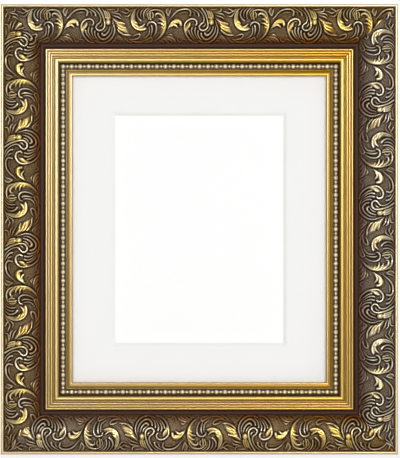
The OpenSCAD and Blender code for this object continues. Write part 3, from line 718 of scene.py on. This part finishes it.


# The gold slip. A second, lower moulding glued inside the rails: three reeds, a groove, a
# step, the bead channel between two coves, and the lip. It is gilded, with brown glaze and
# painted shade in its hollows.

reeds = 3
reeds_width = 7.4
reeds_outer_height = 21.0
reeds_inner_height = 19.4
reed_rise = 0.8
groove_width = 1.5
groove_depth = 0.7
step_width = 4.5
step_outer_height = 19.0
step_inner_height = 18.2
step_rise = 0.7
channel_width = 7.0
channel_height = 14.6
lip_width = 5.7
lip_outer_height = 15.8
lip_inner_height = 13.4
lip_hollow = 0.2
outer_cove_width = 1.3
outer_cove_hollow = 0.6
inner_cove_width = 1.1
inner_cove_hollow = 0.3
nose_width = 2.4
nose_height = 14.5
nose_rise = 0.7
rebate_width = 6.5
rebate_depth = 9.0
slip_easing = 0.25
reed_facets, groove_facets, step_facets = 10, 8, 12
outer_cove_facets, inner_cove_facets = 6, 5
lip_facets, nose_facets = 6, 10
step_at = rail_width + reeds_width + groove_width
channel_at = step_at + step_width
lip_at = channel_at + channel_width
slip_end = lip_at + lip_width
bead_line = channel_at + channel_width / 2


def reed_at(reed):
    share = reed / reeds
    return (rail_width + share * reeds_width,
            reeds_outer_height + share * (reeds_inner_height - reeds_outer_height))


step_top = (step_at, step_outer_height)
channel_edge = (channel_at, step_inner_height)
floor_start = (channel_at + outer_cove_width, channel_height)
floor_end = (lip_at - inner_cove_width, channel_height)
lip_edge = (lip_at, lip_outer_height)
nose_top = (slip_end - nose_width, nose_height)
sight = (slip_end, lip_inner_height)
slip_outline = [(rail_width, 0)]
for reed in range(reeds):
    slip_outline += arc(reed_at(reed), reed_at(reed + 1), reed_rise, reed_facets)
slip_outline = eased(
    slip_outline
    + arc(reed_at(reeds), step_top, -groove_depth, groove_facets)
    + arc(step_top, channel_edge, step_rise, step_facets)
    + arc(channel_edge, floor_start, -outer_cove_hollow, outer_cove_facets) + [floor_start]
    + arc(floor_end, lip_edge, -inner_cove_hollow, inner_cove_facets)
    + arc(lip_edge, nose_top, -lip_hollow, lip_facets)
    + arc(nose_top, sight, nose_rise, nose_facets)
    + [sight, (slip_end, rebate_depth),
       (slip_end - rebate_width, rebate_depth), (slip_end - rebate_width, 0)], slip_easing)


# The brown glaze that rubbing left, with painted shade in the same map in the creases and
# down the coves, from 0 to 1: on the crest of a reed and added by its foot, in the groove,
# on the step and added in its corner and by the channel, at the top of the coves, on the
# lip, and on the nose and added where it starts.
crest_glaze, foot_glaze = 0.16, 0.45
groove_glaze = 0.5
step_glaze, corner_glaze, edge_glaze = 0.18, 0.8, 0.5
cove_glaze = 0.4
lip_glaze, nose_glaze, start_glaze = 0.68, 0.08, 0.5


def glaze_and_shade_at(inward, height):
    reed = (inward - rail_width) / (reeds_width / reeds)
    if reed < reeds:
        return crest_glaze + foot_glaze * abs(2 * (reed % 1) - 1)**3
    if inward < step_at:
        return groove_glaze
    if inward < channel_at:
        across = (inward - step_at) / step_width
        return step_glaze + corner_glaze * max(0, 1 - 5 * across) + edge_glaze * across**2
    if inward < lip_at:
        top = step_inner_height if inward < bead_line else lip_outer_height
        return cove_glaze + (1 - cove_glaze) * min(1, (top - height) / (top - channel_height))
    nose = (inward - slip_end + nose_width) / nose_width
    return lip_glaze if nose < -0.1 else nose_glaze + start_glaze * max(0, 1 - 4 * nose)


# Gilding over red-brown ground, rubbed by hand along the rail in streaks 70 mm long and
# 1.4 mm wide. Each side has painted light, a painted tint and brightness for how the light
# falls on it, that change from one end to the other: pale gold leans to lemon, and warm
# gold to red.
slip_warmth = {"top": (0.86, 1.26), "right": (1.03, 1.08), "bottom": (1.17, 0.87),
               "left": (0.98, 0.76)}
slip_lightness = {"top": (1.22, 0.92), "right": (0.9, 0.74), "bottom": (0.93, 0.9),
                  "left": (0.76, 0.91)}
gilding = new_finish("rubbed gilding", Metallic=0.95, Roughness=0.3)
leaf = mottled(gilding, (14, 700), "#b1863b", "#ecd08f", bump=(0.06, 0.2), Detail=5.0,
               Roughness=0.55)
glaze, warmth, lightness = marked(gilding, "glaze", "warmth", "lightness")
# The glaze map darkens the leaf with brown glaze and painted shade.
glazed = blend(gilding, glaze, leaf, "#75500f")
hue = remap(gilding, warmth, (0.9, 1.3), (0.508, 0.492))
shade(gilding,
      Base_Color=add(gilding, "HueSaturation", {"Hue": hue, "Saturation": warmth,
                                                "Value": lightness, "Color": glazed}),
      Roughness=remap(gilding, glaze, to=(0.27, 0.46)))

# Umber glaze on the channel's floor: almost matt, stippled with a brush in dots of 1.4 mm.
umber = new_finish("umber glaze", Metallic=0.45, Roughness=0.55)
mottled(umber, 700.0, "#2b1d0c", "#614a26", bump=(0.3, 0.2), Detail=3.0)


def slip_finish(inward, height):
    touching = 0.3
    if (height < rebate_depth + touching
            or inward < rail_width + touching and height < ledge_height):
        return pine
    on_floor = channel_at < inward < lip_at and height < channel_height + touching
    return umber if on_floor else gilding


for side in SIDES:
    slip = moulding_run(f"gilt_slip_{side}", side, slip_outline, (gilding, umber, pine),
                        slip_finish)
    back_to_run = side_matrix(side).inverted()
    places = [back_to_run @ corner.co for corner in slip.data.vertices]
    mark(slip, "glaze", [glaze_and_shade_at(place.z / MM, place.y / MM) for place in places])
    paint_side_light(slip, side, warmth=slip_warmth, lightness=slip_lightness)
    smooth_over(slip, degrees=40)
    carry(slip, "frame", "gilded_wood", f"slip_{side}")


# The bead strings. Turned or pressed strings of a large bead and a small one by turns,
# set in the channel and gilded. The top and bottom strings carry the corner beads.

bead_radius = 2.2
small_bead_radius = 1.5
thread_radius = 0.65
bead_pitch = 8.25
bead_height = channel_height + 0.75
bead_facets, small_bead_facets, facets_round = 9, 7, 12
end_gap = 0.02

# The glaze and painted shade are gone this far above the channel's floor or from the
# thread's line, and thicken over the second distance.
glaze_top, glaze_fade = 2.16, 1.8
thread_glaze, thread_fade = 1.275 * thread_radius, thread_radius / 2

# Gilt beads: bright rubbed gold on top, worn in spots of 2.4 mm, and umber glaze with
# painted shade where each meets the channel or its neighbour.
gilt_bead = new_finish("gilded bead", Metallic=0.65, Roughness=0.34)
bright = mottled(gilt_bead, 420.0, "#ead6aa", "#fff3d2", Detail=3.0)
[glaze] = marked(gilt_bead, "glaze")
shade(gilt_bead, Base_Color=blend(gilt_bead, glaze, bright, "#4a381f"),
      Roughness=remap(gilt_bead, glaze, to=(0.32, 0.5)))


def turned_bead(at, radius, facets):
    """Points of a bead's half outline, from where the thread enters to where it leaves."""
    edge = math.asin(thread_radius / radius)
    turns = np.linspace(math.pi - edge, edge, facets)
    return [(at + radius * math.cos(turn), radius * math.sin(turn)) for turn in turns]


def bead_string(side):
    """Turns one large and one small bead on their thread, repeats them along the channel
    and cuts the string flat where it lies on the channel's floor."""
    _, _, half_length = SIDE_AXES[side]
    run = 2 * (half_length / MM - bead_line)
    pitches = round(run / bead_pitch)
    pitch = run / pitches
    margin = (pitch / 2 + bead_radius - small_bead_radius) / 2
    profile = ([(-margin, thread_radius)] + turned_bead(0, bead_radius, bead_facets)
               + turned_bead(pitch / 2, small_bead_radius, small_bead_facets)
               + [(pitch - margin, thread_radius)])
    clear_selection()
    bpy.ops.mesh.primitive_circle_add(vertices=len(profile), fill_type="NOTHING")
    string = bpy.context.object
    string.name = string.data.name = f"bead_string_{side}"
    for corner, (at, radius) in zip(string.data.vertices, profile):
        corner.co = ((at - run / 2) * MM, radius * MM, 0)
    bpy.ops.object.mode_set(mode="EDIT")
    bpy.ops.mesh.select_mode(type="EDGE")
    bpy.ops.mesh.select_all(action="DESELECT")
    bpy.ops.object.mode_set(mode="OBJECT")
    for edge in string.data.edges:
        edge.select = set(edge.vertices) == {0, len(profile) - 1}
    bpy.ops.object.mode_set(mode="EDIT")
    bpy.ops.mesh.delete(type="EDGE")
    bpy.ops.mesh.select_all(action="SELECT")
    bpy.ops.mesh.spin(steps=facets_round, angle=math.radians(360), center=(0, 0, 0),
                      axis=(1, 0, 0))
    bpy.ops.mesh.select_all(action="SELECT")
    bpy.ops.mesh.remove_doubles(threshold=1e-6)
    bpy.ops.object.mode_set(mode="OBJECT")
    repeat = string.modifiers.new("along the channel", "ARRAY")
    repeat.use_relative_offset = False
    repeat.use_constant_offset = True
    repeat.constant_offset_displace = (pitch * MM, 0, 0)
    repeat.use_merge_vertices = True
    repeat.merge_threshold = 2e-6
    repeat.count = pitches + 1
    bpy.ops.object.modifier_apply(modifier=repeat.name)
    string.data.transform(Matrix.Translation((0, bead_height * MM, bead_line * MM)))
    reach = margin if side in ("top", "bottom") else -margin
    bpy.ops.object.mode_set(mode="EDIT")
    for towards in (1, -1):
        cut_away((towards * (run / 2 + reach - end_gap) * MM, 0, 0), (towards, 0, 0))
    cut_away((0, channel_height * MM, 0), (0, -1, 0))
    end_editing()
    return string


for side in SIDES:
    string = bead_string(side)
    _, height, inward = corners_of(string.data).T / MM
    thick = np.hypot(height - bead_height, inward - bead_line)
    # Glaze with painted shade: low on each bead by the channel's floor, and on the thread.
    glaze_and_shade_low = (glaze_top - (height - channel_height)) / glaze_fade
    thin = (thread_glaze - thick) / thread_fade
    mark(string, "glaze", np.clip(np.maximum(glaze_and_shade_low, thin), 0, 1))
    string.data.materials.append(gilt_bead)
    string.data.transform(side_matrix(side))
    smooth_over(string, degrees=60)
    carry(string, "frame", "gilded_composition", f"beads_{side}")


# The V nails. Folded strips of hardened steel, driven flush across each mitre from the
# back by the joining press.

def bench_copy(name, node, finish, bevel=0, segments=2):
    """A piece over a CAD node's own shape, merged and with its edges broken."""
    sharp = 35
    clear_selection()
    piece = bpy.data.objects.new(name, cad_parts[node].data.copy())
    piece.data.materials.clear()
    piece.data.materials.append(finish)
    bpy.context.scene.collection.objects.link(piece)
    piece.select_set(True)
    bpy.context.view_layer.objects.active = piece
    edit_all()
    bpy.ops.mesh.remove_doubles(threshold=2e-6)
    bpy.ops.mesh.dissolve_limited(angle_limit=math.radians(1))
    bpy.ops.object.mode_set(mode="OBJECT")
    if bevel:
        edges = piece.modifiers.new("broken edges", "BEVEL")
        edges.width = bevel * MM
        edges.segments = segments
        edges.limit_method = "ANGLE"
        edges.angle_limit = math.radians(sharp)
        bpy.ops.object.modifier_apply(modifier=edges.name)
    smooth_over(piece, sharp)
    return piece


# Zinc-plated steel: a bright plate over drawn or stamped metal, with clouds 4 mm across.
zinc = new_finish("zinc plate", Metallic=1.0, Roughness=0.32)
mottled(zinc, 260.0, "#9ba0a3", "#d5d8da", rough=(0.22, 0.42), Detail=4.0)

nails = bench_copy("v_nails", "corner_nails", zinc, bevel=0.12)
carry(nails, "frame", "steel", "corner_nails")


# The glazing. Clear 2 mm float glass with its cut edges seamed, laid in the rebate.

# Float glass: see-through, with a mirror's skin on the face that the light meets first.
glass_index = 1.52
float_glass = bpy.data.materials.new("float glass")
float_glass.use_nodes = True
float_glass.node_tree.nodes.clear()
through = add(float_glass, "BsdfTransparent", {"Color": (1, 1, 1, 1)})
mirror = add(float_glass, "BsdfAnisotropic", {"Roughness": 0.02})
skin = add(float_glass, "Fresnel", {"IOR": glass_index})
inside = add(float_glass, "NewGeometry", give="Backfacing")
share = combine(float_glass, "MULTIPLY", skin, combine(float_glass, "SUBTRACT", 1.0, inside))
add(float_glass, "OutputMaterial", {"Surface": add(float_glass, "MixShader", {
    0: share, 1: through, 2: mirror})})

# Seamed edges: greenish, and frosted by the belt with marks of 1 mm.
cut_edge = new_finish("seamed glass edge", Roughness=0.25, Transmission_Weight=0.6,
                      IOR=glass_index)
mottled(cut_edge, 900.0, "#9cc4b4", "#cfe6dc")


def finish_edges(piece, finish):
    """Gives the faces that look neither forward nor back a second finish."""
    facing = 0.9
    piece.data.materials.append(finish)
    for face in piece.data.polygons:
        face.material_index = 0 if abs(face.normal.y) > facing else 1


pane = bench_copy("glass_pane", "glass", float_glass, bevel=0.3, segments=1)
finish_edges(pane, cut_edge)
carry(pane, "glazing", "clear_glass", "glass")


# The window mat. Two layers of 1.5 mm conservation board, cut with a bevelled window that
# shows the white core.

# Mat board: matt white paper. Its tooth is too fine to show, and is drawn 1 mm across.
mat_face = new_finish("mat board", Roughness=0.85)
mottled(mat_face, 900.0, "#f2f2f1", "#f8f8f7", bump=(0.12, 0.1), Detail=4.0)

# The core: cut fibres of cotton, drawn 0.8 mm across so that they show.
core = new_finish("mat core", Roughness=0.9)
mottled(core, 1300.0, "#eeeeec", "#f8f8f6", Detail=3.0)

mat = bench_copy("mat_board", "window_mat", mat_face)
finish_edges(mat, core)
carry(mat, "mat", "mat_board", "window_mat")


# The sheet behind the window. Smooth bright white paper, left blank. Where its fibres lie
# closer it is a little whiter, in clouds of 2 mm.

bright_paper = new_finish("bright white paper", Roughness=0.7)
mottled(bright_paper, 500.0, "#fdfdfd", "#ffffff")

sheet = bench_copy("white_sheet", "picture_sheet", bright_paper)
carry(sheet, "sheet", "white_paper", "picture_sheet")


# The backing board. Thin brown fibreboard, hot-pressed smooth, with sawn edges. Bundles
# of fibres 3 mm long show through its skin.

fibreboard = new_finish("hot-pressed fibreboard", Roughness=0.55)
mottled(fibreboard, 320.0, "#84603c", "#a98458", spread=(0.3, 0.7), bump=(0.15, 0.2),
        Detail=8.0, Roughness=0.7, Distortion=1.2)

back = bench_copy("back_board", "backing_board", fibreboard, bevel=0.3, segments=1)
carry(back, "back", "fibreboard", "backing_board")


# The turn buttons. Stamped brass-plated strips with a pressed rib, each on one round-head
# screw, that swing over the backing board. The plate is tarnished in patches of 4 mm.

brass = new_finish("brass plate", Metallic=1.0, Roughness=0.3)
mottled(brass, 240.0, "#b08a3e", "#e2c272", spread=(0.3, 0.7), rough=(0.42, 0.24), Detail=5.0)

for spot in ("top", "upper_right", "lower_right", "bottom", "lower_left", "upper_left"):
    button = bench_copy(f"brass_button_{spot}", f"turn_button_{spot}", brass, bevel=0.25,
                        segments=3)
    carry(button, f"button_{spot}", "brass_plate", f"turn_button_{spot}")
button_screws = bench_copy("button_screws", "turn_button_screws", zinc, bevel=0.12)
carry(button_screws, "frame", "steel", "turn_button_screws")


# The hangers. A folded steel strap on one screw, with a wire ring that swings in its eye.

for hand in ("left", "right"):
    strap = bench_copy(f"steel_strap_{hand}", f"hanger_strap_{hand}", zinc, bevel=0.15)
    carry(strap, "frame", "steel", f"hanger_strap_{hand}")
    ring = bench_copy(f"wire_ring_{hand}", f"ring_{hand}", zinc)
    carry(ring, f"hanging_ring_{hand}", "steel", f"ring_{hand}")
strap_screws = bench_copy("strap_screws", "hanger_screws", zinc, bevel=0.12)
carry(strap_screws, "frame", "steel", "hanger_screws")


# The wall bumpers. Soft grey rubber discs, stuck on so that the frame doesn't mark the
# wall. The rubber has a faint bloom in spots of 2 mm.

rubber = new_finish("bumper rubber", Roughness=0.75)
mottled(rubber, 500.0, "#38373a", "#4d4c50", Detail=3.0)

bumpers = bench_copy("rubber_bumpers", "wall_bumpers", rubber, bevel=0.3, segments=3)
carry(bumpers, "frame", "bumper_rubber", "wall_bumpers")


# The studio: a plain pale floor under the frame, a white surround for what the camera
# sees, soft lamps, and the camera square to the front. Its sizes are in metres.

floor_gap = 0.0004
floor_size = 2.8


def seen_white(owner, forward):
    """Which rays see plain white: those of the camera, those through glass, and mirrored
    ones that end behind the frame, where forward is above 0."""
    rays = add(owner, "LightPath").node.outputs
    behind = combine(owner, "GREATER_THAN", forward, 0.0)
    mirrored = combine(owner, "MULTIPLY", rays["Is Glossy Ray"], behind)
    straight = combine(owner, "MAXIMUM", rays["Is Camera Ray"], rays["Is Transmission Ray"])
    return combine(owner, "MAXIMUM", straight, mirrored)


clear_selection()
bpy.ops.mesh.primitive_plane_add(size=floor_size, location=(0, 0, outer_low.z - floor_gap))
floor = bpy.context.object
floor.name = "studio_floor"

# Pale matt paint. The camera sees it mostly as plain white, and from 1.3 m on as nothing
# else, so that it shows only the frame's shadow.
floor_paint = new_finish("studio floor", Roughness=0.9, Base_Color="#f4f4f4")
paint = floor_paint.node_tree.nodes["Principled BSDF"].outputs[0]
place = add(floor_paint, "TexCoord", give="Object")
seen = seen_white(floor_paint, add(floor_paint, "SeparateXYZ", {0: place}, give="Y"))
away = add(floor_paint, "VectorMath", {0: place}, operation="LENGTH")
share = combine(floor_paint, "MULTIPLY", seen, remap(floor_paint, away, (0.5, 1.3), (0.8, 1)))
white = add(floor_paint, "Emission", {"Color": (1, 1, 1, 1), "Strength": 1.0})
add(floor_paint, "OutputMaterial", {"Surface": add(floor_paint, "MixShader", {
    0: share, 1: paint, 2: white})}, is_active_output=True)
floor.data.materials.append(floor_paint)

# The surround is dim in front of the frame, which keeps dark reflections in the gold, and
# brighter to its sides, and most above and on the right.
world = bpy.data.worlds.new("studio surround")
bpy.context.scene.world = world
world.use_nodes = True
world.node_tree.nodes.clear()
toward = add(world, "SeparateXYZ", {0: add(world, "TexCoord", give="Generated")}).node.outputs
level = remap(world, toward["Y"], (-1, -0.2), (0.08, 0.44))
for axis, tilt in (("X", (0.75, 1.25)), ("Z", (0.7, 1.3))):
    level = combine(world, "MULTIPLY", level, remap(world, toward[axis], (-1, 1), tilt))
surround = add(world, "Background", {"Color": (1, 1, 1, 1), "Strength": level})
backdrop = add(world, "Background", {"Color": (1, 1, 1, 1), "Strength": 1.0})
add(world, "OutputWorld", {"Surface": add(world, "MixShader", {
    0: seen_white(world, toward["Y"]), 1: surround, 2: backdrop})})


def lamp(name, location, size, watts):
    bpy.ops.object.light_add(type="AREA", location=location)
    made = bpy.context.object
    made.name = name
    made.data.size = size
    made.data.energy = watts
    made.visible_camera = False
    made.rotation_euler = (middle - Vector(location)).to_track_quat("-Z", "Y").to_euler()


lamp("key_softbox", (0.55, -2.55, 0.45), size=0.5, watts=30.5)
lamp("fill_softbox", (-0.55, -2.6, 0.0), size=0.5, watts=16.5)

# The photograph is 458 pixels high, 1.043 to a millimetre of the frame's front, and shows
# the frame square on, a little off centre.
photo_height = 458
photo_scale = 1.043
off_right, off_down = -0.6, 0.25
camera_distance = 3.0
sensor = 36.0
camera_data = bpy.data.cameras.new("camera")
camera = bpy.data.objects.new("camera", camera_data)
bpy.context.scene.collection.objects.link(camera)
camera_data.sensor_width = sensor
camera_data.lens = photo_scale / MM * camera_distance * sensor / photo_height
camera_data.clip_end = 50
camera.location = (-off_right / photo_scale * MM, -rim_height * MM - camera_distance,
                   middle.z + off_down / photo_scale * MM)
camera.rotation_euler = (math.radians(90), 0, 0)
bpy.context.scene.camera = camera
bpy.context.scene.view_settings.view_transform = "Standard"
